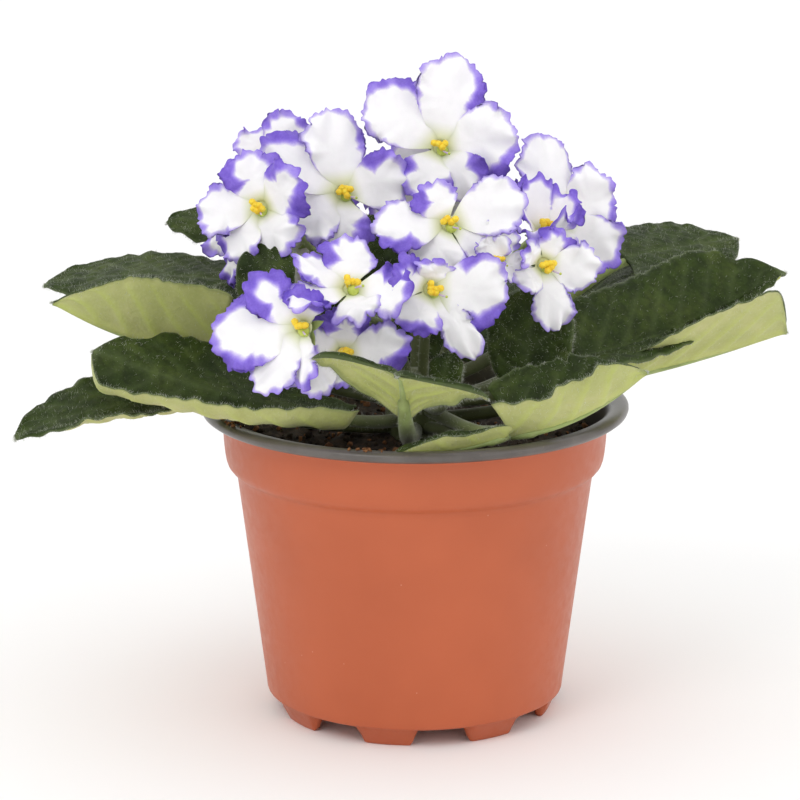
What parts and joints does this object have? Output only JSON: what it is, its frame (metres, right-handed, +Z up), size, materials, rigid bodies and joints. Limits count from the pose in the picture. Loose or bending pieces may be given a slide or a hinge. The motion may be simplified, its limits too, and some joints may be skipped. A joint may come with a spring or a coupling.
{
  "type": "potted african violet",
  "caption": "Flowering African violet with ruffled, dark-edged white blooms over a rosette of hairy leaves, in a round tapered plastic nursery pot.",
  "frame": {"origin": "on the pot's axis, level with the soles of the pot's feet", "axes": "+Z up, -Y towards the front of the plant, +X to the right seen from the front"},
  "size_m": [0.2148, 0.1451, 0.1855],
  "materials": {
    "pot_plastic": "satin terracotta, with a dark grey inner layer that shows on the lip",
    "soil": "moist dark peat compost",
    "leaf": "velvety dark green above with pale hairs, pale yellow green below",
    "stem": "hairy pale green",
    "petal": "soft white with a ruffled violet-blue edge",
    "anther": "matt golden yellow"
  },
  "bodies": {
    "root": {"pot": "pot_plastic", "soil": "soil", "crown": "stem", "leaf_left_low": "leaf", "leaf_left_front": "leaf", "leaf_left_pale": "leaf", "leaf_left_back": "leaf", "leaf_front": "leaf", "leaf_front_right": "leaf", "leaf_front_small": "leaf", "leaf_right_large": "leaf", "leaf_right_low": "leaf", "leaf_right_back": "leaf", "leaf_inner_left": "leaf", "leaf_inner_right": "leaf", "leaf_inner_front": "leaf", "leaf_inner_upright": "leaf", "leaf_back_left": "leaf", "leaf_back": "leaf", "leaf_back_right": "leaf", "leaf_back_inner": "leaf", "stem_front": "stem", "stem_centre": "stem", "stem_left": "stem", "stem_top": "stem", "stem_right": "stem", "stem_back": "stem", "bloom_top": "petal", "stamens_top": "anther", "bloom_upper_left": "petal", "stamens_upper_left": "anther", "bloom_left": "petal", "stamens_left": "anther", "bloom_centre": "petal", "stamens_centre": "anther", "bloom_middle": "petal", "stamens_middle": "anther", "bloom_lower_left": "petal", "stamens_lower_left": "anther", "bloom_low": "petal", "stamens_low": "anther", "bloom_centre_right": "petal", "stamens_centre_right": "anther", "bloom_tucked": "petal", "stamens_tucked": "anther", "bloom_right": "petal", "stamens_right": "anther", "bloom_upper_right": "petal", "stamens_upper_right": "anther", "bloom_ruffled": "petal", "stamens_ruffled": "anther", "bloom_upper_back": "petal", "stamens_upper_back": "anther", "bloom_left_back": "petal", "stamens_left_back": "anther", "bloom_back": "petal", "stamens_back": "anther", "bloom_back_left": "petal", "stamens_back_left": "anther"}
  },
  "joints": []
}
